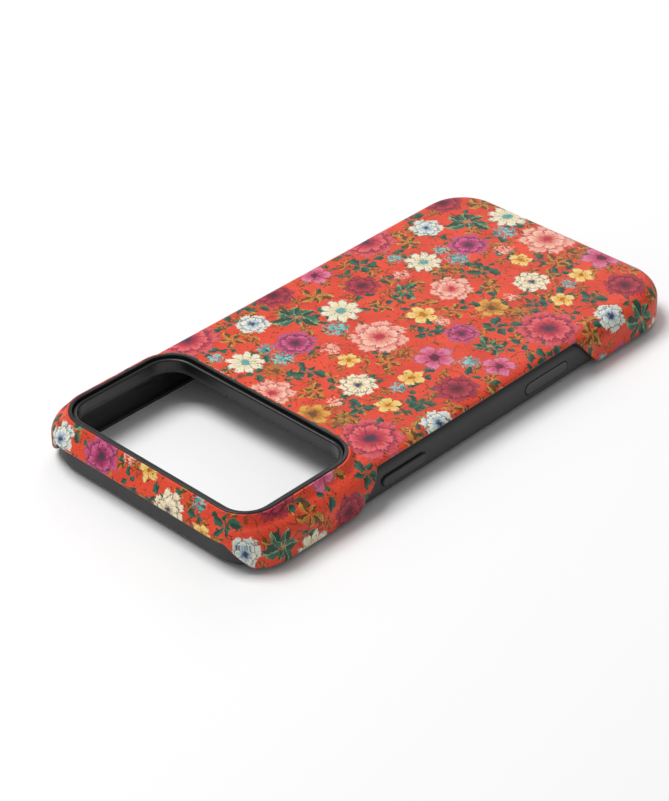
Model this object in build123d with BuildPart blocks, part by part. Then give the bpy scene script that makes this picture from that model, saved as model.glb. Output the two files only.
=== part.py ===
"""Two-layer phone case: a hard shell with a printed skin, snapped over a soft liner.

Frame: the case lies on its front lip, back up. The origin is the middle of the footprint on the
plane it rests on, +Z is out of the back, the camera end is at -Y, and the side button is at +X.
"""

from build123d import *
from math import hypot, radians, sin, sqrt, tan
import os

os.makedirs("parts", exist_ok=True)

# ---------------------------------------------------------------- driving dimensions (mm)

# The phone that the case fits
phone_length = 150.0
phone_width = 71.9
phone_thickness = 8.75

# Outside of the case
case_length = 157.5
case_width = 76.9
back_height = 11.8
corner_radius = 13.1
back_edge_radius = 4.77

# Wall stack, from the outside in
skin_wall = 0.4
shell_wall = 1.2
shell_back = 1.05
shell_gap_side = 0.2
shell_gap_back = 0.1
liner_back = 0.5
lining_thickness = 0.2
lining_camera_gap = 1.2
lining_edge_gap = 0.4
pocket_clearance = 0.05
pocket_back_radius = 2.3

# Lip round the screen
lip_thickness = 0.8
lip_overlap = 2.5
liner_front_radius = 2.9
pocket_front_radius = 2.2

# Raised camera surround
rim_width = 67.2
rim_length = 39.6
rim_corner = 9.0
rim_middle_y = -55.3
rim_height = 2.3
rim_slope = 60.0
rim_base_below_back = 2.35
rim_edge_showing = 0.25
rim_shell_wall = 0.8
rim_edge_radius = 0.3
rim_foot_radius = 1.5
bead_gap = 0.15
bead_wall = 1.15
bead_below_rim = 0.7
bead_edge_radius = 0.5

# Notches that leave the liner showing: (start, end) along the wall at the height notch_low_z
tab_bottom = 1.2
notch_low_z = 3.6
notch_slant = 0.9
notch_top_radius = 1.6
notch_foot_radius = 3.0
notch_run_out = 3.0
notch_edge_radius = 0.9
side_notch_top = 9.45
camera_end_notch_top = 7.2
right_notch = (-40.4, 43.9)
left_notch = (-52.4, 43.9)
camera_end_notch = (-32.2, 32.2)
port_end_notch = (-30.0, 30.0)

# Buttons: a pill-shaped head in a shallow moat, on a stem through the liner's wall
button_z = 4.9
button_height = 2.6
button_moat_depth = 0.3
button_moat_gap = 0.3
button_lift = 0.35
button_head = 0.65
button_head_radius = 0.35
stem_margin = 0.7
stem_clearance = 0.2
stem_inside = 0.05
side_button = (-25.8, 15.2)
action_button = (-43.0, 7.0)
volume_up_button = (-29.5, 11.0)
volume_down_button = (-15.5, 11.0)

# Touch pad for the camera: flush in a window in the liner's wall
pad_middle_y = 27.3
pad_length = 16.2
pad_height = 3.2
pad_gap = 0.25
pad_proud = 0.1

# Openings in the liner's end wall
port_width = 13.0
port_height = 6.0
speaker_width = 11.5
speaker_height = 3.2
speaker_x = 17.5

# Magnets in the shell's inner face
magnet_ring_outer = 27.6
magnet_ring_inner = 23.2
magnet_count = 16
magnet_pitch = 20.0
magnet_gap_angle = 0.8
magnet_thickness = 0.5
bar_width = 4.8
bar_length = 17.0
bar_middle_y = 40.0
tape_thickness = 0.12
tape_margin = 0.6
recess_clearance = 0.1

# ---------------------------------------------------------------- derived levels and outlines

cavity_inset = skin_wall + shell_wall
liner_inset = cavity_inset + shell_gap_side
shell_top = back_height - skin_wall
shell_under = shell_top - shell_back
liner_top = shell_under - shell_gap_back
pocket_top = liner_top - liner_back
rim_top = back_height + rim_height
rim_base = back_height - rim_base_below_back
bead_top = rim_top - bead_below_rim
mesa_skin_inset = skin_wall / sin(radians(rim_slope))
rim_opening_inset = mesa_skin_inset + rim_shell_wall
bead_inset = rim_opening_inset + bead_gap
camera_opening_inset = bead_inset + bead_wall
liner_face = case_width / 2 - liner_inset
pocket_width = phone_width + 2 * pocket_clearance
pocket_length = phone_length + 2 * pocket_clearance
pocket_corner = corner_radius - liner_inset - (liner_face - pocket_width / 2)
phone_middle_z = lip_thickness + phone_thickness / 2
overshoot = 2.0


# ---------------------------------------------------------------- shared shapes


def case_block(inset, base, top, back_radius):
    """The case's outline moved in by inset, from base to top, with its back edge rounded."""
    with BuildPart() as block:
        with BuildSketch(Plane.XY.offset(base)):
            RectangleRounded(case_width - 2 * inset, case_length - 2 * inset, corner_radius - inset)
        extrude(amount=top - base)
        fillet(block.faces().sort_by(Axis.Z)[-1].edges(), back_radius)
    return block.part


def camera_outline(inset):
    """The camera surround's outline moved in by inset, or out where inset is negative."""
    with Locations((0, rim_middle_y)):
        RectangleRounded(rim_width - 2 * inset, rim_length - 2 * inset, rim_corner - inset)


def camera_mesa(inset):
    """The raised camera surround, moved in by inset, with sides that slope out as they go down."""
    spread = (rim_top - rim_base) / tan(radians(rim_slope))
    with BuildPart() as mesa:
        with BuildSketch(Plane.XY.offset(rim_base)):
            camera_outline(inset - spread)
        with BuildSketch(Plane.XY.offset(rim_top)):
            camera_outline(inset)
        loft(ruled=True)
    return mesa.part


def outline_distance(point, width, length, corner):
    """How far a point is outside a rounded rectangle about the origin, seen from above."""
    over_x = abs(point.X) - (width / 2 - corner)
    over_y = abs(point.Y) - (length / 2 - corner)
    return hypot(max(over_x, 0), max(over_y, 0)) + min(max(over_x, over_y), 0) - corner


def on_camera_foot(edge, top):
    """Whether an edge lies where the camera surround's sloping side meets the case's back."""
    middle = edge @ 0.5
    spread = (rim_top - middle.Z) / tan(radians(rim_slope))
    beside = Vector(middle.X, middle.Y - rim_middle_y, 0)
    off_slope = outline_distance(beside, rim_width, rim_length, rim_corner) - spread
    return middle.Z < top + 0.01 and abs(off_slope) < skin_wall + 0.1


def on_wall_edge(edge):
    """Whether an edge is the outer border of a notch or a tab, and not a seam in the wall."""
    middle = edge @ 0.5
    box = edge.bounding_box()
    wall_top = back_height - back_edge_radius
    above = max(middle.Z - wall_top, 0)
    inset = back_edge_radius - sqrt(back_edge_radius**2 - min(above, back_edge_radius) ** 2)
    off_wall = outline_distance(middle, case_width, case_length, corner_radius) + inset
    upright = box.size.X < 0.001 and box.size.Y < 0.001
    seam = box.size.Z < 0.001 and abs(middle.Z - wall_top) < 0.001
    return box.max.Z < side_notch_top + 0.01 and abs(off_wall) < 0.02 and not upright and not seam


def case_hull(inset, mesa_inset):
    """The case's outside moved in by inset: the slab and the camera surround, blended together."""
    top = back_height - inset
    with BuildPart() as hull:
        add(case_block(inset, tab_bottom, top, back_edge_radius - inset))
        add(camera_mesa(mesa_inset))
        foot = hull.edges().filter_by(lambda edge: on_camera_foot(edge, top))
        fillet(foot, rim_foot_radius + inset)
    return hull.part


def camera_plug(inset, base, top):
    """An upright plug of the camera surround's outline, moved in by inset."""
    with BuildPart() as plug:
        with BuildSketch(Plane.XY.offset(base)):
            camera_outline(inset)
        extrude(amount=top - base)
    return plug.part


def notch_cutter(plane, span, top, reach):
    """A cutter for one wall's notch: a flat top, slanted ends, rounded at top and foot.

    The foot's arcs run smoothly into the tabs' bottom plane, which rounds the tabs' corners.
    The sketch plane has the wall's length along x and the height along y. span is the notch's
    two ends at the height notch_low_z, and reach is how far it cuts along the plane's normal.
    """
    start, end = span
    rise = (top - notch_low_z) * notch_slant
    drop = (notch_low_z - tab_bottom) * notch_slant
    far_start = start - drop - notch_run_out
    far_end = end + drop + notch_run_out
    radii = [0, 0, notch_foot_radius, notch_top_radius, notch_top_radius, notch_foot_radius, 0, 0]
    with BuildPart() as cutter:
        with BuildSketch(plane):
            with BuildLine():
                FilletPolyline(
                    (far_start, tab_bottom - overshoot),
                    (far_start, tab_bottom),
                    (start - drop, tab_bottom),
                    (start + rise, top),
                    (end - rise, top),
                    (end + drop, tab_bottom),
                    (far_end, tab_bottom),
                    (far_end, tab_bottom - overshoot),
                    radius=radii,
                    close=True,
                )
            make_face()
        extrude(amount=reach)
    return cutter.part


def side_plane(side, distance, middle_y=0.0, middle_z=0.0):
    """A plane across X at the side's distance, its x along the wall and its y up."""
    return Plane(origin=(side * distance, middle_y, middle_z), x_dir=(0, 1, 0), z_dir=(1, 0, 0))


def end_plane(y):
    """A plane across Y, facing -Y, its x along X and its y up."""
    return Plane(origin=(0, y, 0), x_dir=(1, 0, 0), z_dir=(0, -1, 0))


def shell_notches():
    """The four wall cutters that the shell and its skin share."""
    half_width = case_width / 2
    half_length = case_length / 2
    side_reach = 5.0
    end_reach = 8.5
    right = side_plane(1, half_width + 1 - side_reach)
    left = side_plane(-1, half_width + 1)
    camera_end = end_plane(end_reach - 1 - half_length)
    return [
        notch_cutter(right, right_notch, side_notch_top, side_reach),
        notch_cutter(left, left_notch, side_notch_top, side_reach),
        notch_cutter(camera_end, camera_end_notch, camera_end_notch_top, end_reach),
        notch_cutter(end_plane(half_length + 1), port_end_notch, side_notch_top, end_reach),
    ]


def pill_bar(side, near, far, middle_y, length, height):
    """A pill-section bar through the side wall, from near to far out from the middle."""
    with BuildPart() as bar:
        with BuildSketch(side_plane(side, near, middle_y, button_z)):
            SlotOverall(length, height)
        extrude(amount=side * (far - near))
    return bar.part


def magnet_outline(margin):
    """The magnet ring and bar seen from the back, grown by margin: one closed outline."""
    with BuildSketch(mode=Mode.PRIVATE) as outline:
        Circle(magnet_ring_outer + margin)
        bar_end_y = bar_middle_y + bar_length / 2
        with Locations((0, (magnet_ring_outer + bar_end_y) / 2)):
            Rectangle(bar_width + 2 * margin, bar_end_y - magnet_ring_outer + 2 * margin)
        Circle(magnet_ring_inner - margin, mode=Mode.SUBTRACT)
    return outline.sketch


# ---------------------------------------------------------------- printed skin

notches = shell_notches()

with BuildPart() as outside:
    add(case_hull(0, 0))
    for cutter in notches:
        add(cutter, mode=Mode.SUBTRACT)
    fillet(outside.edges().filter_by(on_wall_edge), notch_edge_radius)

with BuildPart() as printed_skin:
    add(outside.part)
    add(case_hull(skin_wall, mesa_skin_inset), mode=Mode.SUBTRACT)
    add(camera_plug(mesa_skin_inset, rim_base, rim_top + overshoot), mode=Mode.SUBTRACT)
    add(camera_plug(-overshoot, rim_top - rim_edge_showing, rim_top + overshoot), mode=Mode.SUBTRACT)

# ---------------------------------------------------------------- outer shell

with BuildPart() as outer_shell:
    add(case_hull(skin_wall, mesa_skin_inset))
    fillet(outer_shell.faces().sort_by(Axis.Z)[-1].edges(), rim_edge_radius)
    add(outside.part, mode=Mode.INTERSECT)
    cavity_radius = back_edge_radius - cavity_inset
    add(case_block(cavity_inset, tab_bottom - overshoot, shell_under, cavity_radius), mode=Mode.SUBTRACT)
    add(camera_plug(rim_opening_inset, rim_base - overshoot, rim_top + overshoot), mode=Mode.SUBTRACT)
    with BuildSketch(Plane.XY.offset(shell_under)):
        add(magnet_outline(tape_margin + recess_clearance))
    extrude(amount=tape_thickness + magnet_thickness, mode=Mode.SUBTRACT)

# ---------------------------------------------------------------- magnets and their tape

with BuildPart() as magnet_tape:
    with BuildSketch(Plane.XY.offset(shell_under)):
        add(magnet_outline(tape_margin))
    extrude(amount=tape_thickness)

with BuildPart() as magnet_segments:
    with BuildSketch(Plane.XY.offset(shell_under + tape_thickness)):
        for index in range(magnet_count):
            start = 90 + magnet_pitch * (index + 1) + magnet_gap_angle / 2
            sweep_angle = magnet_pitch - magnet_gap_angle
            with BuildLine():
                outer_arc = CenterArc((0, 0), magnet_ring_outer, start, sweep_angle)
                inner_arc = CenterArc((0, 0), magnet_ring_inner, start, sweep_angle)
                Line(outer_arc @ 0, inner_arc @ 0)
                Line(outer_arc @ 1, inner_arc @ 1)
            make_face()
    extrude(amount=magnet_thickness)

with BuildPart() as alignment_magnet:
    with BuildSketch(Plane.XY.offset(shell_under + tape_thickness)):
        with Locations((0, bar_middle_y)):
            Rectangle(bar_width, bar_length)
    extrude(amount=magnet_thickness)

# ---------------------------------------------------------------- buttons and touch pad


def make_button(side, place):
    """A button: a rounded pill head outside the liner's wall and a stem through it."""
    middle_y, length = place
    head_under = liner_face - button_moat_depth + button_lift
    stem_end = pocket_width / 2 + stem_inside
    with BuildPart() as button:
        add(pill_bar(side, head_under, head_under + button_head, middle_y, length, button_height))
        outer_face = button.faces().sort_by(Axis.X)[-1 if side > 0 else 0]
        fillet(outer_face.edges(), button_head_radius)
        stem_length = length - 2 * stem_margin
        stem_height = button_height - 2 * stem_margin
        add(pill_bar(side, stem_end, head_under, middle_y, stem_length, stem_height))
    return button.part


buttons = {
    "side_button": (1, side_button),
    "action_button": (-1, action_button),
    "volume_up_button": (-1, volume_up_button),
    "volume_down_button": (-1, volume_down_button),
}

with BuildPart() as camera_control_pad:
    pad_under = pocket_width / 2 + stem_inside
    pad_face = liner_face + pad_proud
    add(pill_bar(1, pad_under, pad_face, pad_middle_y, pad_length, pad_height))

# ---------------------------------------------------------------- soft liner


def phone_pocket():
    """The space that the phone takes, with its long edges rounded."""
    with BuildPart() as pocket:
        with BuildSketch(Plane.XY.offset(lip_thickness)):
            RectangleRounded(pocket_width, pocket_length, pocket_corner)
        extrude(amount=pocket_top - lip_thickness)
        fillet(pocket.faces().sort_by(Axis.Z)[-1].edges(), pocket_back_radius)
        fillet(pocket.faces().sort_by(Axis.Z)[0].edges(), pocket_front_radius)
    return pocket.part


def end_slot(x, width, height):
    """A slot through the liner's end wall, centred on the phone's thickness."""
    reach = case_length / 2 - pocket_length / 2 + overshoot
    with BuildPart() as slot:
        with BuildSketch(end_plane(case_length / 2)):
            with Locations((x, phone_middle_z)):
                SlotOverall(width, height)
        extrude(amount=reach)
    return slot.part


with BuildPart() as inner_liner:
    add(case_block(liner_inset, 0, liner_top, back_edge_radius - liner_inset))
    fillet(inner_liner.faces().sort_by(Axis.Z)[0].edges(), liner_front_radius)
    add(camera_plug(bead_inset, pocket_top, bead_top))
    add(phone_pocket(), mode=Mode.SUBTRACT)
    add(camera_plug(camera_opening_inset, pocket_top - overshoot, rim_top), mode=Mode.SUBTRACT)
    fillet(inner_liner.faces().sort_by(Axis.Z)[-1].edges(), bead_edge_radius)
    with BuildSketch(Plane.XY.offset(-overshoot)):
        lip_inset = lip_overlap + pocket_clearance
        screen_width = pocket_width - 2 * lip_inset
        screen_length = pocket_length - 2 * lip_inset
        RectangleRounded(screen_width, screen_length, pocket_corner - lip_inset)
    extrude(amount=overshoot + lip_thickness + pocket_front_radius / 2, mode=Mode.SUBTRACT)
    add(end_slot(0, port_width, port_height), mode=Mode.SUBTRACT)
    for side in (-1, 1):
        add(end_slot(side * speaker_x, speaker_width, speaker_height), mode=Mode.SUBTRACT)
    for side, (middle_y, length) in buttons.values():
        moat_floor = liner_face - button_moat_depth
        moat_length = length + 2 * button_moat_gap
        moat_height = button_height + 2 * button_moat_gap
        slot_length = length - 2 * stem_margin + 2 * stem_clearance
        slot_height = button_height - 2 * stem_margin + 2 * stem_clearance
        beyond = case_width / 2
        within = pocket_width / 2 - overshoot
        add(pill_bar(side, moat_floor, beyond, middle_y, moat_length, moat_height), mode=Mode.SUBTRACT)
        add(pill_bar(side, within, beyond, middle_y, slot_length, slot_height), mode=Mode.SUBTRACT)
    window_length = pad_length + 2 * pad_gap
    window_height = pad_height + 2 * pad_gap
    window_under = pocket_width / 2 - overshoot
    window = pill_bar(1, window_under, case_width / 2, pad_middle_y, window_length, window_height)
    add(window, mode=Mode.SUBTRACT)

# ---------------------------------------------------------------- lining against the phone

with BuildPart() as microfibre_lining:
    side_margin = pocket_back_radius + lining_edge_gap
    near_y = rim_middle_y + rim_length / 2 - camera_opening_inset + lining_camera_gap
    far_y = pocket_length / 2 - side_margin
    with BuildSketch(Plane.XY.offset(pocket_top - lining_thickness)):
        with Locations((0, (near_y + far_y) / 2)):
            RectangleRounded(pocket_width - 2 * side_margin, far_y - near_y, pocket_corner - side_margin)
    extrude(amount=lining_thickness)

# ---------------------------------------------------------------- labels and files

pieces = {
    "printed_skin": printed_skin.part,
    "outer_shell": outer_shell.part,
    "magnet_tape": magnet_tape.part,
    "magnet_segments": magnet_segments.part,
    "alignment_magnet": alignment_magnet.part,
    "inner_liner": inner_liner.part,
    "microfibre_lining": microfibre_lining.part,
    "camera_control_pad": camera_control_pad.part,
}
for name, (side, place) in buttons.items():
    pieces[name] = make_button(side, place)

for name, piece in pieces.items():
    piece.label = name
    export_step(piece, f"parts/{name}.step")
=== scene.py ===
"""Looks of a two-layer phone case: a printed cork skin on a hard shell, over a soft liner.

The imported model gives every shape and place. Lengths are in metres, in the model's own frame:
the case lies on its front lip, +Z is out of the back and the camera end is at -Y. Print and
surface patterns are worked out in millimetres.
"""

import logging
import math
import random
from collections.abc import Callable
from dataclasses import dataclass
from enum import Enum
from typing import Any

import bpy
from mathutils import Matrix, Vector


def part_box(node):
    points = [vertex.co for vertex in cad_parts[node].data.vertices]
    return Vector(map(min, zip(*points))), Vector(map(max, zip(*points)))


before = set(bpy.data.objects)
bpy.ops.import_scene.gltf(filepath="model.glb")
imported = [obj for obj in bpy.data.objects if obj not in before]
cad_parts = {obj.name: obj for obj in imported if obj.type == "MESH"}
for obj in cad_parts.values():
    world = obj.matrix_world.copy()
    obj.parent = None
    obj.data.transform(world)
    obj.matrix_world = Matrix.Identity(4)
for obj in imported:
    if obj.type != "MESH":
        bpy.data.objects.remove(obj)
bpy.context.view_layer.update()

log = logging.getLogger("phone_case")

Socket = bpy.types.NodeSocket
Colour = tuple[float, float, float, float]

MM = 0.001

# The radius, in millimetres, of a motif that is left out. Nothing can be divided by a radius of 0.
LEFT_OUT = 0.02

# A range that limits itself. Limits that are nodes of their own fill the shader's memory when many
# motifs are drawn one after another.
SOFT = {"interpolation_type": "SMOOTHSTEP", "clamp": False}


def linear(hex_code: str) -> Colour:
    """Turns an sRGB hex colour into the linear colour that shaders take.

    Args:
        hex_code: The colour as "#rrggbb".

    Returns:
        Red, green, blue and alpha, linear, with alpha 1.
    """
    parts = [int(hex_code[i : i + 2], 16) / 255 for i in (1, 3, 5)]
    low = [p / 12.92 if p <= 0.04045 else ((p + 0.055) / 1.055) ** 2.4 for p in parts]
    return (low[0], low[1], low[2], 1.0)


class Recipe:
    """A node tree being written, one node at a time."""

    def __init__(self, tree: bpy.types.NodeTree) -> None:
        """Keeps the tree that the nodes go into."""
        self.tree = tree

    def add(
        self,
        kind: str,
        *inputs: Any,
        out: int | str = 0,
        at: dict[int | str, Any] | None = None,
        **settings: Any,
    ) -> Socket:
        """Adds a node with its settings and links.

        Args:
            kind: The node's type, without the leading ShaderNode.
            inputs: Sockets or values for the first inputs in order, None to leave one alone.
            out: Which output to give back, by number or name.
            at: More inputs, by number or name.
            settings: The node's own settings.

        Returns:
            The chosen output socket.
        """
        node = self.tree.nodes.new(kind if kind.startswith("Node") else "ShaderNode" + kind)
        for name, value in settings.items():
            setattr(node, name, value)
        self.feed(node, {**dict(enumerate(inputs)), **(at or {})})
        return node.outputs[out]

    def feed(self, node: bpy.types.Node, inputs: dict[int | str, Any]) -> None:
        """Links or sets a node's inputs.

        Args:
            node: The node.
            inputs: Sockets or values by the input's number or name, None to leave one alone.
        """
        for place, value in inputs.items():
            if isinstance(value, Socket):
                self.tree.links.new(value, node.inputs[place])
            elif value is not None:
                node.inputs[place].default_value = value

    def millimetres(self) -> Socket:
        """Writes the nodes that give a surface point's place in millimetres.

        Returns:
            The place, in the model's own frame.
        """
        place = self.add("TexCoord", out="Object")
        return self.add("VectorMath", place, at={3: 1 / MM}, operation="SCALE")


def blank_material(name: str) -> tuple[bpy.types.Material, Recipe, bpy.types.Node]:
    """Makes a material that is ready to be written.

    Args:
        name: The material's name.

    Returns:
        The material, its tree as a recipe, and its shader.
    """
    material = bpy.data.materials.new(name)
    material.use_nodes = True
    tree = material.node_tree
    return material, Recipe(tree), tree.nodes["Principled BSDF"]


# ---------------------------------------------------------------- the floral print


class Hue(Enum):
    """The print's inks, as sRGB hex."""

    GROUND = "#ee4e30"
    GROUND_DEEP = "#dc4026"
    RED = "#bf2a40"
    RED_LIGHT = "#ee6a6e"
    PLUM = "#4b2d46"
    WINE = "#8c1f33"
    WINE_LIGHT = "#c23c4c"
    PINK = "#cc4472"
    PINK_LIGHT = "#ee86a4"
    MAROON = "#56162a"
    CORAL = "#ee8f7c"
    CORAL_LIGHT = "#f8cbb4"
    MAGENTA = "#a4285a"
    MAGENTA_LIGHT = "#dc6492"
    YELLOW = "#f3b64e"
    YELLOW_LIGHT = "#fbe08f"
    OCHRE = "#b46e1e"
    CREAM = "#f3dcae"
    CREAM_LIGHT = "#fbf0d2"
    NAVY = "#363c60"
    SKY = "#b4cdd7"
    TEAL = "#4f9fa3"
    TEAL_LIGHT = "#86d0ca"
    LEAF = "#23483c"
    LEAF_MID = "#2f6a52"
    LEAF_TIP = "#a8c88a"
    GOLD = "#bf8430"
    BROWN = "#6f421a"
    FLECK = "#3c1914"

    @property
    def ink(self) -> Colour:
        """The colour, linear."""
        return linear(self.value)


class Kind(Enum):
    """What sort of motif a spot of the print is."""

    BLOOM = "bloom"
    FLOWER = "flower"
    LEAVES = "leaves"
    FILLER = "filler"


@dataclass(frozen=True)
class Palette:
    """A motif's three inks, from its rim in to its heart."""

    rim: Hue
    body: Hue
    heart: Hue


class Dye(Enum):
    """The sets of inks that motifs are printed in."""

    RED_PEONY = Palette(Hue.RED_LIGHT, Hue.RED, Hue.PLUM)
    CORAL_PEONY = Palette(Hue.CORAL_LIGHT, Hue.CORAL, Hue.RED)
    WINE_ROSE = Palette(Hue.WINE_LIGHT, Hue.WINE, Hue.MAROON)
    MAGENTA_PEONY = Palette(Hue.MAGENTA_LIGHT, Hue.MAGENTA, Hue.PLUM)
    PINK_ANEMONE = Palette(Hue.PINK_LIGHT, Hue.PINK, Hue.MAROON)
    CREAM_MUM = Palette(Hue.CREAM_LIGHT, Hue.CREAM, Hue.NAVY)
    SKY_ROSE = Palette(Hue.CREAM_LIGHT, Hue.SKY, Hue.NAVY)
    CREAM_DAISY = Palette(Hue.CREAM_LIGHT, Hue.CREAM, Hue.TEAL)
    YELLOW_BUTTERCUP = Palette(Hue.YELLOW_LIGHT, Hue.YELLOW, Hue.OCHRE)
    ORANGE_BUTTERCUP = Palette(Hue.YELLOW, Hue.OCHRE, Hue.BROWN)
    GREEN_LEAF = Palette(Hue.LEAF_MID, Hue.LEAF, Hue.LEAF_TIP)
    DARK_LEAF = Palette(Hue.LEAF_MID, Hue.LEAF, Hue.LEAF_MID)
    GOLD_LEAF = Palette(Hue.GOLD, Hue.BROWN, Hue.YELLOW)
    TEAL_SPRAY = Palette(Hue.TEAL_LIGHT, Hue.TEAL, Hue.LEAF)
    PINK_BUDS = Palette(Hue.CORAL_LIGHT, Hue.CORAL, Hue.RED)
    BROWN_SPRAY = Palette(Hue.GOLD, Hue.BROWN, Hue.BROWN)


@dataclass(frozen=True)
class Motif:
    """One motif of the print. Millimetres.

    Attributes:
        kind: The sort of drawing.
        dye: Its inks.
        petals: How many petals or leaves go round it.
        radii: The outer radius of each one that the repeat has.
    """

    kind: Kind
    dye: Dye
    petals: int
    radii: tuple[float, ...]


def motifs() -> list[Motif]:
    """Lists what one repeat has.

    Returns:
        The motifs, from the top layer of ink to the lowest one.
    """
    return [
        Motif(Kind.BLOOM, Dye.RED_PEONY, 8, (8.4,)),
        Motif(Kind.BLOOM, Dye.CORAL_PEONY, 7, (7.6, 5.8)),
        Motif(Kind.BLOOM, Dye.WINE_ROSE, 7, (5.8, 5.0)),
        Motif(Kind.BLOOM, Dye.MAGENTA_PEONY, 6, (5.6, 4.6)),
        Motif(Kind.BLOOM, Dye.CREAM_MUM, 9, (5.0,)),
        Motif(Kind.BLOOM, Dye.SKY_ROSE, 6, (4.6,)),
        Motif(Kind.FLOWER, Dye.CREAM_DAISY, 9, (5.6, 5.0)),
        Motif(Kind.FLOWER, Dye.PINK_ANEMONE, 5, (5.6, 4.6)),
        Motif(Kind.FLOWER, Dye.ORANGE_BUTTERCUP, 6, (4.6,)),
        Motif(Kind.FLOWER, Dye.YELLOW_BUTTERCUP, 5, (4.2, 3.6, 3.4, 3.2)),
        Motif(Kind.LEAVES, Dye.GREEN_LEAF, 6, (7.6, 5.2, 5.0)),
        Motif(Kind.LEAVES, Dye.DARK_LEAF, 5, (5.2, 5.2, 5.0, 4.6, 4.4, 4.0)),
        Motif(Kind.LEAVES, Dye.GOLD_LEAF, 5, (5.4, 4.8, 4.6, 4.4, 4.0, 3.6)),
        Motif(Kind.FILLER, Dye.PINK_BUDS, 6, (3.2, 2.8, 2.6, 2.4)),
        Motif(Kind.FILLER, Dye.TEAL_SPRAY, 6, (3.8, 3.8, 3.2, 2.6, 2.6, 2.6)),
        Motif(Kind.FILLER, Dye.BROWN_SPRAY, 6, (4.5, 4.5, 4.0)),
    ]


@dataclass(frozen=True)
class Spot:
    """One motif in its place in the repeat. Millimetres and radians.

    Attributes:
        motif: What is printed there.
        x: Its middle across the case.
        y: Its middle along the case.
        radius: Its outer radius.
        turn: How far it is turned.
    """

    motif: Motif
    x: float
    y: float
    radius: float
    turn: float


@dataclass(frozen=True)
class TossedLayout:
    """A tossed layout: motifs strewn evenly every way up, with no rows and no top. Millimetres.

    Attributes:
        across: The repeat's width.
        along: The repeat's length.
        tries: How many places are tried for each motif.
        seed: Picks the tries, so that the print is the same each time.
    """

    across: float = 64.0
    along: float = 66.0
    tries: int = 80
    seed: int = 11

    def spots(self) -> list[Spot]:
        """Lays the motifs, the top ones first, each where it has the most room.

        Returns:
            The motifs in their places, from the lowest layer of ink to the top one.
        """
        draw = random.Random(self.seed)
        laid: list[Spot] = []
        for motif in motifs():
            for radius in motif.radii:
                tried = []
                for _ in range(self.tries):
                    tried.append((draw.uniform(0, self.across), draw.uniform(0, self.along)))
                x, y = max(tried, key=lambda place: self.room(place, laid))
                laid.append(Spot(motif, x, y, radius, draw.uniform(0, 2 * math.pi)))
        return laid[::-1]

    def room(self, place: tuple[float, float], laid: list[Spot]) -> float:
        """Finds how far a place is from the nearest motif, across the repeat's edges too.

        Args:
            place: The place, across and along.
            laid: The motifs that are already down.

        Returns:
            The gap to the nearest motif's edge.
        """
        gaps = [math.inf]
        for one in laid:
            x, y = abs(place[0] - one.x), abs(place[1] - one.y)
            gaps.append(math.hypot(min(x, self.across - x), min(y, self.along - y)) - one.radius)
        return min(gaps)


@dataclass(frozen=True)
class Cover:
    """Small leaves strewn between the flowers. Millimetres.

    Attributes:
        dye: Their inks.
        spacing: How far apart they are.
        radius: The radius of each spray.
        share: The share of places that have one.
        petals: How many leaves are in a spray.
        offset: Where the strewing starts, so that two layers differ.
    """

    dye: Dye
    spacing: float
    radius: float
    share: float
    petals: int
    offset: float


def undergrowth() -> list[Cover]:
    """Lists the strewn leaves.

    Returns:
        The leaves, from the lowest layer of ink to the top one.
    """
    return [
        Cover(Dye.BROWN_SPRAY, 5.0, 2.3, 0.44, 5, 3.0),
        Cover(Dye.GOLD_LEAF, 7.2, 3.3, 0.42, 4, 11.0),
        Cover(Dye.DARK_LEAF, 7.6, 4.2, 0.6, 3, 27.0),
    ]


# A full bloom's rings of petals from the outermost in: each one's size, and how far it is turned
# so that its petals don't stand in line with the next ring's.
BLOOM_RINGS = ((1.0, 0.0), (0.68, 1.35), (0.34, 0.6))

# Writes a motif's nodes, and returns its colour and how much of it covers.
Drawing = Callable[[Recipe, dict[str, Socket]], tuple[Socket, Socket]]


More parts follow.
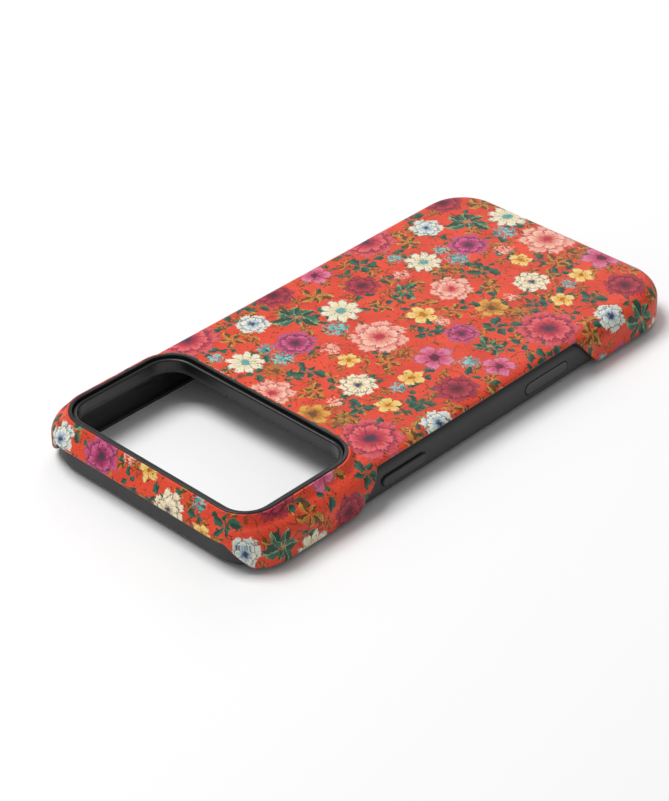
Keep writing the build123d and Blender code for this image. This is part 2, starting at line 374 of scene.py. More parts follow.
class MotifGroups:
    """The node groups that draw one motif of each kind over what is printed below it."""

    def __init__(self) -> None:
        """Makes the groups."""
        makers = {
            Kind.BLOOM: self.bloom,
            Kind.FLOWER: self.flower,
            Kind.LEAVES: self.leaves,
            Kind.FILLER: self.filler,
        }
        self.trees = {kind: self.group(kind.value, maker) for kind, maker in makers.items()}

    @staticmethod
    def group(name: str, maker: Drawing) -> bpy.types.NodeTree:
        """Makes one group and its sockets, and has its motif drawn.

        Args:
            name: The group's name.
            maker: Writes the nodes, and returns the motif's colour and how much of it covers.

        Returns:
            The finished node group.
        """
        tree = bpy.data.node_groups.new(name, "ShaderNodeTree")
        sockets = {
            "Below": "NodeSocketColor",
            "Place": "NodeSocketVector",
            "Radius": "NodeSocketFloat",
            "Petals": "NodeSocketFloat",
            "Turn": "NodeSocketFloat",
            "Rim": "NodeSocketColor",
            "Body": "NodeSocketColor",
            "Heart": "NodeSocketColor",
            "Dots": "NodeSocketFloat",
            "Chance": "NodeSocketFloat",
        }
        for label, sort in sockets.items():
            tree.interface.new_socket(label, in_out="INPUT", socket_type=sort)
        tree.interface.new_socket("Ink", in_out="OUTPUT", socket_type="NodeSocketColor")
        recipe = Recipe(tree)
        source = tree.nodes.new("NodeGroupInput")
        given = {label: source.outputs[label] for label in sockets}
        size = recipe.add("Math", 1.0, given["Radius"], operation="DIVIDE")
        unit = recipe.add("VectorMath", given["Place"], at={3: size}, operation="SCALE")
        given["Reach"] = recipe.add("VectorMath", unit, out=1, operation="LENGTH")
        across = recipe.add("VectorMath", unit, (1, 0, 0), out=1, operation="DOT_PRODUCT")
        along = recipe.add("VectorMath", unit, (0, 1, 0), out=1, operation="DOT_PRODUCT")
        angle = recipe.add("Math", along, across, operation="ARCTAN2")
        given["Angle"] = recipe.add("Math", angle, given["Turn"], operation="ADD")
        ink, cover = maker(recipe, given)
        mixed = recipe.add("Mix", cover, at={6: given["Below"], 7: ink}, out=2, data_type="RGBA")
        sink = tree.nodes.new("NodeGroupOutput")
        tree.links.new(mixed, sink.inputs[0])
        return tree

    @staticmethod
    def bloom(recipe: Recipe, given: dict[str, Socket]) -> tuple[Socket, Socket]:
        """Draws a full double flower: three rings of scalloped petals round a dark heart.

        Args:
            recipe: The tree to write in.
            given: The motif's inputs, with a point's reach and angle from its middle.

        Returns:
            The motif's colour, and how much of it covers.
        """
        add = recipe.add
        reach = given["Reach"]
        half = add("Math", given["Petals"], 0.5, operation="MULTIPLY")
        swirled = add("Math", reach, 0.5, given["Angle"], operation="MULTIPLY_ADD")
        wave = add("Math", swirled, half, operation="MULTIPLY")
        rings = []
        for size, shift in BLOOM_RINGS:
            turned = add("Math", wave, shift, operation="ADD")
            scallop = add("Math", add("Math", turned, operation="SINE"), operation="ABSOLUTE")
            ruffle = add("Math", add("Math", turned, 7.0, operation="MULTIPLY"), operation="SINE")
            edge = add("Math", scallop, 0.2 * size, 0.8 * size, operation="MULTIPLY_ADD")
            frilled = add("Math", ruffle, 0.045 * size, edge, operation="MULTIPLY_ADD")
            inside = add("Math", reach, frilled, operation="DIVIDE")
            rings.append((inside, scallop))
        (outer, outer_scallop), (middle, middle_scallop), (inner, _) = rings
        outer_shade = add("MapRange", outer, 0.62, 1.0, 0.1, 1.0, **SOFT)
        outer_fold = add("MapRange", outer_scallop, 0.0, 0.35, 0.35, 1.0, **SOFT)
        middle_shade = add("MapRange", middle, 0.45, 1.0, 0.05, 1.0, **SOFT)
        middle_fold = add("MapRange", middle_scallop, 0.0, 0.4, 0.45, 1.0, **SOFT)
        brushed = add("Math", add("Math", wave, 31.0, operation="MULTIPLY"), operation="SINE")
        stroke = add("Math", brushed, 0.16, 0.84, operation="MULTIPLY_ADD")
        folded = add("Math", outer_shade, outer_fold, operation="MULTIPLY")
        outer_tone = add("Math", folded, stroke, operation="MULTIPLY")
        middle_tone = add("Math", middle_shade, middle_fold, operation="MULTIPLY")
        in_middle = add("MapRange", middle, 1.0, 0.93, 0.0, 1.0, **SOFT)
        tone = add("Mix", in_middle, at={2: outer_tone, 3: middle_tone})
        petals = add("Mix", tone, at={6: given["Body"], 7: given["Rim"]}, out=2, data_type="RGBA")
        in_heart = add("MapRange", inner, 1.0, 0.86, 0.0, 1.0, **SOFT)
        heart_tone = add("MapRange", inner, 0.25, 1.0, 0.0, 0.8, **SOFT)
        heart = add("Mix", heart_tone, at={6: given["Heart"], 7: given["Body"]}, out=2, data_type="RGBA")
        ink = add("Mix", in_heart, at={6: petals, 7: heart}, out=2, data_type="RGBA")
        between = add("MapRange", outer_scallop, 0.24, 0.04, 0.0, 0.8, **SOFT)
        within = add("MapRange", middle_scallop, 0.26, 0.04, 0.0, 0.75, **SOFT)
        folds = add("Mix", in_middle, at={2: between, 3: within})
        shadow = add("MapRange", middle, 1.22, 1.0, 0.0, 0.75, **SOFT)
        beyond = add("Math", middle, 1.0, operation="GREATER_THAN")
        cast = add("Math", shadow, beyond, operation="MULTIPLY")
        rim_line = add("MapRange", outer, 0.9, 1.0, 0.0, 0.45, **SOFT)
        lines = add("Math", folds, add("Math", cast, rim_line, operation="MAXIMUM"), operation="MAXIMUM")
        off_heart = add("Math", 1.0, in_heart, operation="SUBTRACT")
        drawn_lines = add("Math", lines, off_heart, operation="MULTIPLY")
        shaded = add("Mix", drawn_lines, at={6: ink, 7: given["Heart"]}, out=2, data_type="RGBA")
        return shaded, add("MapRange", outer, 1.03, 0.97, 0.0, 1.0, **SOFT)

    @staticmethod
    def flower(recipe: Recipe, given: dict[str, Socket]) -> tuple[Socket, Socket]:
        """Draws a single open flower: one ring of petals, streaked, round a small heart.

        Args:
            recipe: The tree to write in.
            given: The motif's inputs, with a point's reach and angle from its middle.

        Returns:
            The motif's colour, and how much of it covers.
        """
        add = recipe.add
        reach = given["Reach"]
        half = add("Math", given["Petals"], 0.5, operation="MULTIPLY")
        wave = add("Math", given["Angle"], half, operation="MULTIPLY")
        petal = add("Math", add("Math", wave, operation="COSINE"), operation="ABSOLUTE")
        rounded = add("Math", petal, 0.45, operation="POWER")
        edge = add("Math", rounded, 0.58, 0.42, operation="MULTIPLY_ADD")
        inside = add("Math", reach, edge, operation="DIVIDE")
        streak = add("Math", add("Math", wave, 9.0, operation="MULTIPLY"), operation="SINE")
        shade = add("MapRange", inside, 0.25, 0.95, 0.0, 1.0, **SOFT)
        streaked = add("Math", streak, 0.12, shade, operation="MULTIPLY_ADD")
        fold = add("MapRange", petal, 0.05, 0.5, 0.3, 1.0, **SOFT)
        tone = add("Math", streaked, fold, operation="MULTIPLY")
        petals = add("Mix", tone, at={6: given["Body"], 7: given["Rim"]}, out=2, data_type="RGBA")
        in_heart = add("MapRange", reach, 0.3, 0.2, 0.0, 1.0, **SOFT)
        rays = add("Math", streak, 0.25, in_heart, operation="MULTIPLY_ADD")
        ink = add("Mix", rays, at={6: petals, 7: given["Heart"]}, out=2, data_type="RGBA")
        rim_line = add("MapRange", inside, 0.84, 1.0, 0.0, 0.6, **SOFT)
        between = add("MapRange", petal, 0.3, 0.08, 0.0, 0.7, **SOFT)
        lines = add("Math", rim_line, between, operation="MAXIMUM")
        lined = add("Mix", lines, at={6: ink, 7: given["Heart"]}, out=2, data_type="RGBA")
        return lined, add("MapRange", inside, 1.04, 0.96, 0.0, 1.0, **SOFT)

    @staticmethod
    def leaves(recipe: Recipe, given: dict[str, Socket]) -> tuple[Socket, Socket]:
        """Draws a spray of pointed leaves round a point, each veined, lighter on one half.

        Args:
            recipe: The tree to write in.
            given: The motif's inputs, with a point's reach and angle from its middle.

        Returns:
            The motif's colour, and how much of it covers.
        """
        add = recipe.add
        sector = add("Math", 2 * math.pi, given["Petals"], operation="DIVIDE")
        half = add("Math", sector, 0.5, operation="MULTIPLY")
        minus = add("Math", half, -1.0, operation="MULTIPLY")
        curled = add("Math", given["Reach"], 0.55, given["Angle"], operation="MULTIPLY_ADD")
        local = add("Math", curled, half, minus, operation="WRAP")
        which = add("Math", add("Math", curled, local, operation="SUBTRACT"), 2.3, operation="MULTIPLY")
        vary = add("Math", add("Math", which, operation="SINE"), 0.24, 0.76, operation="MULTIPLY_ADD")
        reach = add("Math", given["Reach"], vary, operation="DIVIDE")
        out = add("Math", reach, add("Math", local, operation="COSINE"), operation="MULTIPLY")
        along = add("Math", out, 1.14, -0.14, operation="MULTIPLY_ADD")
        across = add("Math", reach, add("Math", local, operation="SINE"), operation="MULTIPLY")
        rest = add("Math", 1.0, along, operation="SUBTRACT")
        bulge = add("Math", along, rest, operation="MULTIPLY")
        width = add("Math", bulge, 1.12, operation="MULTIPLY")
        side = add("Math", across, operation="ABSOLUTE")
        room = add("Math", width, side, operation="SUBTRACT")
        blade = add("MapRange", room, -0.01, 0.03, 0.0, 1.0, **SOFT)
        stalk = add("MapRange", side, 0.03, 0.015, 0.0, 1.0, **SOFT)
        near = add("MapRange", along, 0.3, 0.2, 0.0, 1.0, **SOFT)
        stem = add("Math", stalk, near, operation="MULTIPLY")
        cover = add("Math", blade, stem, operation="MAXIMUM")
        half_tone = add("MapRange", across, -0.03, 0.05, 0.0, 1.0, **SOFT)
        ink = add("Mix", half_tone, at={6: given["Body"], 7: given["Rim"]}, out=2, data_type="RGBA")
        sweep = add("Math", side, -1.6, along, operation="MULTIPLY_ADD")
        vein_wave = add("Math", add("Math", sweep, 42.0, operation="MULTIPLY"), operation="SINE")
        vein = add("MapRange", vein_wave, 0.75, 1.0, 0.0, 0.55, **SOFT)
        veined = add("Mix", vein, at={6: ink, 7: given["Body"]}, out=2, data_type="RGBA")
        tip = add("MapRange", along, 0.55, 1.0, 0.0, 0.85, **SOFT)
        tip_side = add("Math", tip, half_tone, operation="MULTIPLY")
        rib = add("MapRange", side, 0.03, 0.01, 0.0, 0.7, **SOFT)
        light = add("Math", tip_side, rib, operation="MAXIMUM")
        return add("Mix", light, at={6: veined, 7: given["Heart"]}, out=2, data_type="RGBA"), cover

    @staticmethod
    def filler(recipe: Recipe, given: dict[str, Socket]) -> tuple[Socket, Socket]:
        """Draws a loose cluster of small dots, as of tiny blossoms on a spray.

        Args:
            recipe: The tree to write in.
            given: The motif's inputs, with a point's reach and angle from its middle.

        Returns:
            The motif's colour, and how much of it covers.
        """
        add = recipe.add
        fade = add("MapRange", given["Reach"], 1.0, 0.35, 0.0, 1.0, **SOFT)
        grown = add("Math", fade, 0.3, 0.3, operation="MULTIPLY_ADD")
        room = add("Math", grown, given["Dots"], operation="SUBTRACT")
        dot = add("MapRange", room, 0.0, 0.1, 0.0, 1.0, **SOFT)
        inside = add("MapRange", given["Reach"], 1.0, 0.9, 0.0, 1.0, **SOFT)
        cover = add("Math", dot, inside, operation="MULTIPLY")
        tone = add("MapRange", given["Chance"], 0.3, 0.7, 0.0, 1.0, **SOFT)
        two = add("Mix", tone, at={6: given["Body"], 7: given["Rim"]}, out=2, data_type="RGBA")
        core = add("MapRange", given["Dots"], 0.2, 0.08, 0.0, 0.7, **SOFT)
        return add("Mix", core, at={6: two, 7: given["Heart"]}, out=2, data_type="RGBA"), cover


@dataclass(frozen=True)
class WrappedSheet:
    """How a flat sheet is wrapped over the back, its rounded edge and the walls. Millimetres.

    Attributes:
        width: The case's width.
        length: The case's length.
        corner: The radius of its corners, seen from the back.
        edge: The radius of the rounded edge between back and walls.
        back: The back's height.
        rim: The camera surround's width, length, corner radius and middle along the case.
        lift: How far the sheet is drawn in per millimetre up the surround's sloping side.
    """

    width: float
    length: float
    corner: float = 13.1
    edge: float = 4.77
    back: float = 11.8
    rim: tuple[float, float, float, float] = (67.2, 39.6, 9.0, -55.3)
    lift: float = 0.58

    def unwrap(self, recipe: Recipe) -> Socket:
        """Writes the nodes that find a surface point's place on the flat sheet.

        Args:
            recipe: The tree to write in.

        Returns:
            The place on the flat sheet, in millimetres.
        """
        add = recipe.add
        mm = recipe.millimetres()
        height = add("SeparateXYZ", mm, out=2)
        flat = add("VectorMath", mm, (1, 1, 0), operation="MULTIPLY")
        inner = (self.width / 2 - self.corner, self.length / 2 - self.corner)
        beyond, outward = self.outside(recipe, flat, inner)
        past = add("Math", beyond, self.corner - self.edge, operation="SUBTRACT")
        over = add("Math", past, 0.0, operation="MAXIMUM")
        share = add("Math", add("Math", over, self.edge, operation="DIVIDE"), 1.0, operation="MINIMUM")
        arc = add("Math", add("Math", share, operation="ARCSINE"), self.edge, operation="MULTIPLY")
        drop = add("Math", self.back - self.edge, height, operation="SUBTRACT")
        wall = add("Math", drop, 0.0, operation="MAXIMUM")
        path = add("Math", arc, wall, operation="ADD")
        extra = add("Math", path, over, operation="SUBTRACT")
        pushed = add("VectorMath", outward, at={3: extra}, operation="SCALE")
        laid = add("VectorMath", pushed, flat, operation="ADD")
        rim_width, rim_length, rim_corner, rim_y = self.rim
        beside = add("VectorMath", flat, (0, -rim_y, 0), operation="ADD")
        rim_inner = (rim_width / 2 - rim_corner, rim_length / 2 - rim_corner)
        _, rim_outward = self.outside(recipe, beside, rim_inner)
        climb = add("Math", height, self.back, operation="SUBTRACT")
        risen = add("Math", climb, 0.0, operation="MAXIMUM")
        pull = add("Math", risen, -self.lift, operation="MULTIPLY")
        drawn = add("VectorMath", rim_outward, at={3: pull}, operation="SCALE")
        return add("VectorMath", laid, drawn, operation="ADD")

    @staticmethod
    def outside(recipe: Recipe, flat: Socket, inner: tuple[float, float]) -> tuple[Socket, Socket]:
        """Finds how far, and which way, a point lies outside a rectangle about the origin.

        Args:
            recipe: The tree to write in.
            flat: The point, with no height.
            inner: Half the rectangle's width and length.

        Returns:
            The distance and the outward direction.
        """
        add = recipe.add
        x, y = inner
        low = add("VectorMath", flat, (-x, -y, 0), operation="MAXIMUM")
        near = add("VectorMath", low, (x, y, 0), operation="MINIMUM")
        away = add("VectorMath", flat, near, operation="SUBTRACT")
        distance = add("VectorMath", away, out=1, operation="LENGTH")
        return distance, add("VectorMath", away, operation="NORMALIZE")


@dataclass(frozen=True)
class PrintedCork:
    """Printed cork cloth: thin cork shavings on cloth, printed, with a dry satin face.

    To the eye it is a matt floral print broken by small dark flecks, with a fine pitted grain.
    Millimetres.

    Attributes:
        sheet: How the cloth is wrapped over the case.
        layout: Where the print's motifs go.
        wobble: How unsteady the printed outlines are.
        fleck_spacing: The spacing of the dark cork flecks.
        grain: The spacing of the fine cork pits, drawn about twice as coarse as real.
        pit_depth: How deep the pits are.
    """

    sheet: WrappedSheet
    layout: TossedLayout = TossedLayout()
    wobble: float = 1.15
    fleck_spacing: float = 2.1
    grain: float = 0.5
    pit_depth: float = 0.06

    def material(self) -> bpy.types.Material:
        """Writes the print, its wash and the cork's flecks and pits.

        Returns:
            The material.
        """
        material, recipe, shader = blank_material("printed_cork")
        add = recipe.add
        spot = self.sheet.unwrap(recipe)
        unsteady = add("TexNoise", spot, out=1, at={"Scale": 0.75, "Detail": 2.0, "Roughness": 0.55})
        shaken = add("VectorMath", unsteady, (0.5, 0.5, 0.5), operation="SUBTRACT")
        shift = add("VectorMath", shaken, at={3: self.wobble * 2}, operation="SCALE")
        drawn = add("VectorMath", spot, shift, operation="ADD")
        ink = self.motifs_over(recipe, drawn, self.ground(recipe, spot, drawn))
        wash = add("TexNoise", spot, at={"Scale": 1.9, "Detail": 3.0, "Roughness": 0.6})
        tone = add("MapRange", wash, 0.3, 0.7, 0.8, 1.1)
        toned = add("VectorMath", ink, at={3: tone}, operation="SCALE")
        fleck, pit = self.flecks(recipe, spot)
        flecked = add("Mix", fleck, at={6: toned, 7: Hue.FLECK.ink}, out=2, data_type="RGBA")
        rough = add("MapRange", wash, 0.3, 0.7, 0.5, 0.62)
        bump = add("Bump", 0.35, self.pit_depth * MM, at={"Height": pit})
        recipe.feed(shader, {"Base Color": flecked, "Roughness": rough, "Normal": bump})
        recipe.feed(shader, {"Specular IOR Level": 0.35})
        return material

    def motifs_over(self, recipe: Recipe, drawn: Socket, ink: Socket) -> Socket:
        """Prints the strewn leaves, and over them every motif of the repeat.

        Args:
            recipe: The tree to write in.
            drawn: The place on the flat sheet, with the unsteadiness of the drawing.
            ink: What is printed below.

        Returns:
            The whole print.
        """
        add = recipe.add
        dots = add("TexVoronoi", drawn, at={"Scale": 1.25}, voronoi_dimensions="2D")
        chance = add("VectorMath", dots.node.outputs["Color"], (1, 0, 0), out=1, operation="DOT_PRODUCT")
        groups = MotifGroups()
        for cover in undergrowth():
            ink = self.scatter(recipe, drawn, ink, cover, groups.trees[Kind.LEAVES])
        thickness = 50.0
        half = (self.layout.across / 2, self.layout.along / 2, thickness)
        for one in self.layout.spots():
            off = add("VectorMath", drawn, (one.x, one.y, 0), operation="SUBTRACT")
            place = add("VectorMath", off, half, tuple(-h for h in half), operation="WRAP")
            dye = one.motif.dye.value
            ink = add(
                "Group",
                ink,
                place,
                one.radius,
                float(one.motif.petals),
                one.turn,
                dye.rim.ink,
                dye.body.ink,
                dye.heart.ink,
                dots,
                chance,
                node_tree=groups.trees[one.motif.kind],
            )
        return ink

    @staticmethod
    def scatter(
        recipe: Recipe,
        drawn: Socket,
        ink: Socket,
        cover: Cover,
        leaves: bpy.types.NodeTree,
    ) -> Socket:
        """Strews small leaves over the print, turned and left out at random.

        Args:
            recipe: The tree to write in.
            drawn: The place on the flat sheet, with the unsteadiness of the drawing.
            ink: What is printed below.
            cover: Which leaves, and how close together.
            leaves: The node group that draws one spray of leaves.

        Returns:
            The print with the leaves on it.
        """
        add = recipe.add
        moved = add("VectorMath", drawn, (cover.offset, cover.offset * 0.7, 0), operation="ADD")
        size = {"Scale": 1 / cover.spacing, "Randomness": 0.75}
        cell = add("TexVoronoi", moved, at=size, voronoi_dimensions="2D").node
        place = add("VectorMath", moved, cell.outputs["Position"], operation="SUBTRACT")
        flat = add("VectorMath", place, (1, 1, 0), operation="MULTIPLY")
        first = add("VectorMath", cell.outputs["Color"], (1, 0, 0), out=1, operation="DOT_PRODUCT")
        second = add("VectorMath", cell.outputs["Color"], (0, 1, 0), out=1, operation="DOT_PRODUCT")
        there = add("Math", first, cover.share, operation="LESS_THAN")
        shown = add("Math", there, cover.radius, operation="MULTIPLY")
        radius = add("Math", shown, LEFT_OUT, operation="MAXIMUM")
        turn = add("Math", second, 2 * math.pi, operation="MULTIPLY")
        dye = cover.dye.value
        inks = (dye.rim.ink, dye.body.ink, dye.heart.ink)
        return add("Group", ink, flat, radius, float(cover.petals), turn, *inks, node_tree=leaves)

    @staticmethod
    def ground(recipe: Recipe, spot: Socket, drawn: Socket) -> Socket:
        """Writes the red ground and the thin brown twigs that wander over it.

        Args:
            recipe: The tree to write in.
            spot: The place on the flat sheet.
            drawn: The same place, with the unsteadiness of the drawing.

        Returns:
            The colour of the ground and its twigs.
        """
        add = recipe.add
        patch = add("TexNoise", spot, at={"Scale": 0.09, "Detail": 2.0})
        even = add("MapRange", patch, 0.35, 0.65, 0.0, 1.0)
        ground = add("Mix", even, at={6: Hue.GROUND.ink, 7: Hue.GROUND_DEEP.ink}, out=2, data_type="RGBA")
        wander = add("TexNoise", drawn, at={"Scale": 0.16, "Detail": 1.0})
        line = add("Math", add("Math", wander, 0.5, operation="SUBTRACT"), operation="ABSOLUTE")
        twig = add("MapRange", line, 0.017, 0.007, 0.0, 1.0)
        where = add("TexNoise", drawn, at={"Scale": 0.14, "Detail": 0.0})
        here = add("MapRange", where, 0.42, 0.5, 0.0, 0.85)
        cover = add("Math", twig, here, operation="MULTIPLY")
        return add("Mix", cover, at={6: ground, 7: Hue.BROWN.ink}, out=2, data_type="RGBA")

    def flecks(self, recipe: Recipe, spot: Socket) -> tuple[Socket, Socket]:
        """Writes the cork's dark flecks and its pitted grain.

        Args:
            recipe: The tree to write in.
            spot: The place on the flat sheet.

        Returns:
            How much of a fleck covers the print, and the height of the grain.
        """
        add = recipe.add
        stretched = add("VectorMath", spot, (1.0, 1.9, 1.0), operation="MULTIPLY")
        ragged = add("TexNoise", spot, out=1, at={"Scale": 1.4, "Detail": 2.0})
        pulled = add("VectorMath", ragged, (1.6, 1.6, 0), stretched, operation="MULTIPLY_ADD")
        cells = add("TexVoronoi", pulled, at={"Scale": 1 / self.fleck_spacing})
        small = add("MapRange", cells, 0.19, 0.11, 0.0, 0.9)
        fine = add("TexVoronoi", pulled, at={"Scale": 2.2 / self.fleck_spacing})
        dust = add("MapRange", fine, 0.18, 0.1, 0.0, 0.6)
        fleck = add("Math", small, dust, operation="MAXIMUM")
        grain = add("TexNoise", spot, at={"Scale": 1 / self.grain, "Detail": 3.0, "Roughness": 0.65})
        pit = add("Math", fleck, -0.8, grain, operation="MULTIPLY_ADD")
        return fleck, pit


# ---------------------------------------------------------------- plain finishes


@dataclass(frozen=True)
class MouldedFinish:
    """A moulded plastic or rubber, matt from a spark-eroded tool. Millimetres.

    To the eye it is an even dark matt surface whose fine texture softens every highlight.

    Attributes:
        name: The material's name.
        colour: Its sRGB hex colour.
        roughness: Its mean roughness.
        texture: The spacing of the tool's texture, drawn coarser than real so that it shows.
        depth: How deep the texture is.
        mottle: How much the roughness and colour vary from place to place.
        specular: The strength of its reflections.
        polish_and_shade_above: The height above which the tool was given a polish and the colour is dimmed
            as painted shade, or 0 for nowhere.
        gloss: How much less rough the part above that height is.
        painted_shade: How much the colour above that height is dimmed as painted shade, as a share.
    """

    name: str
    colour: str
    roughness: float
    texture: float = 0.25
    depth: float = 0.012
    mottle: float = 0.12
    specular: float = 0.5
    polish_and_shade_above: float = 0.0
    gloss: float = 0.24
    painted_shade: float = 0.7

    def material(self) -> bpy.types.Material:
        """Writes the finish.

        Returns:
            The material.
        """
        material, recipe, shader = blank_material(self.name)
        add = recipe.add
        mm = recipe.millimetres()
        fine = add("TexNoise", mm, at={"Scale": 1 / self.texture, "Detail": 2.0, "Roughness": 0.6})
        broad = add("TexNoise", mm, at={"Scale": 0.12, "Detail": 3.0})
        smooth, coarse = self.roughness - self.mottle, self.roughness + self.mottle
        rubbed = add("MapRange", broad, 0.3, 0.7, smooth, coarse)
        tone = add("MapRange", broad, 0.3, 0.7, 1 - self.mottle, 1 + self.mottle)
        if self.polish_and_shade_above:
            height = add("VectorMath", mm, (0, 0, 1), out=1, operation="DOT_PRODUCT")
            start, fade = self.polish_and_shade_above, 0.4
            polish_and_shade = add("MapRange", height, start, start + fade, 0.0, 1.0)
            rubbed = add("Math", polish_and_shade, -self.gloss, rubbed, operation="MULTIPLY_ADD")
            # Painted shade: above that height the colour is dimmed, standing in for the shade on the
            # raised bead.
            shade_factor = add("Math", polish_and_shade, -self.painted_shade, 1.0, operation="MULTIPLY_ADD")
            tone = add("Math", tone, shade_factor, operation="MULTIPLY")
        base = linear(self.colour)[:3]
        colour = add("VectorMath", base, at={3: tone}, operation="SCALE")
        bump = add("Bump", 0.5, self.depth * MM, at={"Height": fine})
        recipe.feed(shader, {"Base Color": colour, "Roughness": rubbed, "Normal": bump})
        recipe.feed(shader, {"Specular IOR Level": self.specular})
        return material


@dataclass(frozen=True)
class NappedCloth:
    """Microfibre: a short brushed nap, soft and light-eating, with a pale sheen at a low angle.

    Attributes:
        name: The material's name.
        colour: Its sRGB hex colour.
        nap: The spacing of the tufts in millimetres, drawn coarser than real so that they show.
        depth: How deep the nap is, in millimetres.
        roughness: Its roughness.
        sheen: How strong the sheen is, and how rough.
    """

    name: str = "microfibre"
    colour: str = "#2e2f33"
    nap: float = 0.35
    depth: float = 0.05
    roughness: float = 0.95
    sheen: float = 0.5

    def material(self) -> bpy.types.Material:
        """Writes the finish.

        Returns:
            The material.
        """
        material, recipe, shader = blank_material(self.name)
        add = recipe.add
        mm = recipe.millimetres()
        combed = add("VectorMath", mm, (1.0, 0.35, 1.0), operation="MULTIPLY")
        nap = add("TexNoise", combed, at={"Scale": 1 / self.nap, "Detail": 3.0, "Roughness": 0.7})
        brushed = add("TexNoise", mm, at={"Scale": 0.08, "Detail": 2.0})
        light = add("Math", nap, 0.6, brushed, operation="MULTIPLY_ADD")
        tone = add("MapRange", light, 0.5, 1.1, 0.7, 1.4)
        base = linear(self.colour)[:3]
        colour = add("VectorMath", base, at={3: tone}, operation="SCALE")
        bump = add("Bump", 0.6, self.depth * MM, at={"Height": nap})
        recipe.feed(shader, {"Base Color": colour, "Normal": bump, "Roughness": self.roughness})
        recipe.feed(shader, {"Sheen Weight": self.sheen, "Sheen Roughness": self.sheen})
        return material


@dataclass(frozen=True)
class NickelPlate:
    """Nickel plate on sintered magnets: bright, faintly warm, with fine handling marks.

    Attributes:
        name: The material's name.
        colour: Its sRGB hex colour.
        roughness: Its mean roughness.
        mark_depth: How deep the handling marks are, in millimetres.
    """

    name: str = "nickel_plate"
    colour: str = "#c4c0b8"
    roughness: float = 0.26
    mark_depth: float = 0.01

    def material(self) -> bpy.types.Material:
        """Writes the finish.

        Returns:
            The material.
        """
        material, recipe, shader = blank_material(self.name)
        add = recipe.add
        mm = recipe.millimetres()
        marks = add("TexNoise", mm, at={"Scale": 1.6, "Detail": 4.0, "Roughness": 0.7})
        rough = add("MapRange", marks, 0.3, 0.7, self.roughness - 0.08, self.roughness + 0.14)
        bump = add("Bump", 0.3, self.mark_depth * MM, at={"Height": marks})
        recipe.feed(shader, {"Base Color": linear(self.colour), "Metallic": 1.0})
        recipe.feed(shader, {"Roughness": rough, "Normal": bump})
        return material


# ---------------------------------------------------------------- sub-assemblies


def dress(node: str, material: bpy.types.Material) -> None:
    """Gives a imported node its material.

    Args:
        node: The node's name.
        material: The finish that it gets.
    """
    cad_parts[node].material_slots[0].material = material
    log.info("%s: %s", node, material.name)


@dataclass
class HardShell:
    """The printed hard shell with its magnets.

    Attributes:
        skin: The printed sheet over it.
        plastic: The shell itself.
        film: The tape that holds the magnets.
        plate: The magnets' plating.
    """

    skin: PrintedCork
    plastic: MouldedFinish = MouldedFinish(
        "shell_polycarbonate", "#1b1b1c", roughness=0.42, texture=0.22, depth=0.008
    )
    film: MouldedFinish = MouldedFinish(
        "polyester_film", "#0d0d0e", roughness=0.22, texture=1.2, depth=0.004, mottle=0.06
    )
    plate: NickelPlate = NickelPlate()

    def dress(self) -> None:
        """Gives the shell's pieces their finishes."""
        dress("printed_skin", self.skin.material())
        dress("outer_shell", self.plastic.material())
        dress("magnet_tape", self.film.material())
        plating = self.plate.material()
        dress("magnet_segments", plating)
        dress("alignment_magnet", plating)


@dataclass
class SoftLiner:
    """The soft liner, its lining, its buttons and the touch pad.

    Attributes:
        rubber: The liner, given a polish where its bead stands up round the camera opening, and dimmed
            there as painted shade.
        button_rubber: The buttons.
        pad: The touch pad.
        cloth: The lining.
    """

    rubber: MouldedFinish = MouldedFinish(
        "liner_elastomer",
        "#333233",
        roughness=0.6,
        texture=0.3,
        depth=0.005,
        mottle=0.04,
        # Above 10.6 mm the bead is given a polish and its colour is dimmed as painted shade.
        polish_and_shade_above=10.6,
    )
    button_rubber: MouldedFinish = MouldedFinish(
        "button_elastomer", "#333233", roughness=0.54, texture=0.25, depth=0.004
    )
    pad: MouldedFinish = MouldedFinish(
        "touch_film", "#2e2e30", roughness=0.38, texture=0.4, depth=0.004
    )
    cloth: NappedCloth = NappedCloth()

    def dress(self) -> None:
        """Gives the liner's pieces their finishes."""
        dress("inner_liner", self.rubber.material())
        dress("microfibre_lining", self.cloth.material())
        rubber = self.button_rubber.material()
        for button in ("side_button", "action_button", "volume_up_button", "volume_down_button"):
            dress(button, rubber)
        dress("camera_control_pad", self.pad.material())


# ---------------------------------------------------------------- stage, light and camera


@dataclass(frozen=True)
class SoftLight:
    """A soft square light that faces the case.

    Attributes:
        name: The light's name.
        place: Where it is, in metres.
        side: Its side, in metres.
        power: Its power, in watts.
    """

    name: str
    place: tuple[float, float, float]
    side: float
    power: float

    def build(self) -> None:
        """Adds the light."""
        data = bpy.data.lights.new(self.name, "AREA")
        data.size = self.side
        data.energy = self.power
        light = bpy.data.objects.new(self.name, data)
        light.location = self.place
        light.rotation_euler = (-Vector(self.place)).to_track_quat("-Z", "Y").to_euler()
        bpy.context.scene.collection.objects.link(light)


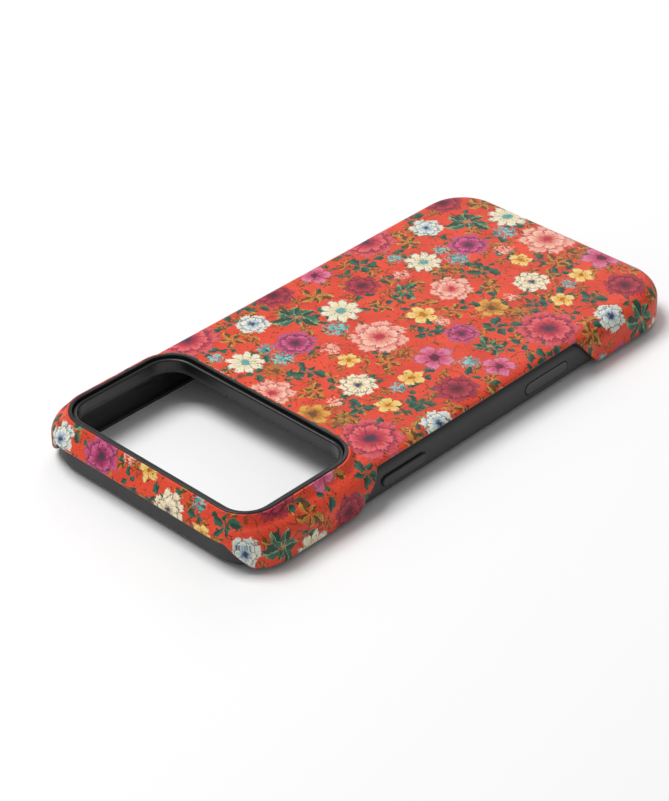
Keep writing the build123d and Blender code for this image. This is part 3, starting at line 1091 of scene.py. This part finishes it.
@dataclass
class Studio:
    """A pale floor, soft studio light and the camera.

    Attributes:
        azimuth: The camera's bearing from the camera end, in degrees.
        elevation: Its height above the floor, in degrees.
        roll: Its roll, in degrees.
        distance: Its distance from the origin, in metres, before it is moved sideways and down.
        aside: How far it is moved to its left, in metres.
        down: How far it is moved down in its own view, in metres.
        lens: Its focal length, in millimetres.
        sensor: Its sensor's width, in millimetres.
        lights: The soft lights.
        sky: The strength of the even white surroundings.
        floor_side: The floor's side, in metres.
    """

    azimuth: float = 44.53
    elevation: float = 34.33
    roll: float = -0.95
    distance: float = 0.6203
    aside: float = 0.00807
    down: float = 0.00438
    lens: float = 109.35
    sensor: float = 36.0
    lights: tuple[SoftLight, ...] = (
        SoftLight("key_light", (-0.42, -0.22, 1.05), side=0.6, power=10.6),
        SoftLight("back_light", (-0.5, 0.9, 0.5), side=0.6, power=2.0),
    )
    sky: float = 0.31
    floor_side: float = 6.0

    def build(self) -> None:
        """Makes the floor, the lights and the camera."""
        bpy.context.scene.view_settings.view_transform = "Standard"
        self.floor()
        self.world()
        for light in self.lights:
            light.build()
        self.camera()

    def floor(self) -> None:
        """Makes the plain pale floor."""
        bpy.ops.mesh.primitive_plane_add(size=self.floor_side, location=(0, 0, 0))
        floor = bpy.context.object
        floor.name = "floor"
        material, recipe, shader = blank_material("pale_floor")
        recipe.feed(shader, {"Base Color": linear("#fdfdfd"), "Roughness": 0.8, "Specular IOR Level": 0.1})
        floor.data.materials.append(material)

    def world(self) -> None:
        """Makes the even white surroundings."""
        world = bpy.data.worlds.new("studio")
        world.use_nodes = True
        white = world.node_tree.nodes["Background"]
        white.inputs["Color"].default_value = linear("#ffffff")
        white.inputs["Strength"].default_value = self.sky
        bpy.context.scene.world = world

    def camera(self) -> None:
        """Places the camera."""
        around, up = math.radians(self.azimuth), math.radians(self.elevation)
        back = Vector((math.sin(around) * math.cos(up), -math.cos(around) * math.cos(up), math.sin(up)))
        level = Vector((math.cos(around), math.sin(around), 0))
        upright = back.cross(level)
        tilt = math.radians(self.roll)
        right = level * math.cos(tilt) + upright * math.sin(tilt)
        above = upright * math.cos(tilt) - level * math.sin(tilt)
        place = back * self.distance - right * self.aside - above * self.down
        data = bpy.data.cameras.new("camera")
        data.lens = self.lens
        data.sensor_width = self.sensor
        data.clip_start = 0.01
        camera = bpy.data.objects.new("camera", data)
        turn = Matrix((right, above, back)).transposed().to_4x4()
        camera.matrix_world = Matrix.Translation(place) @ turn
        bpy.context.scene.collection.objects.link(camera)
        bpy.context.scene.camera = camera


def main() -> None:
    """Builds the case's looks and the studio around it."""
    logging.basicConfig(level=logging.INFO)
    low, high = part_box("printed_skin")
    sheet = WrappedSheet((high.x - low.x) / MM, (high.y - low.y) / MM)
    for assembly in (HardShell(PrintedCork(sheet)), SoftLiner()):
        assembly.dress()
    Studio().build()


if __name__ == "__main__":
    main()
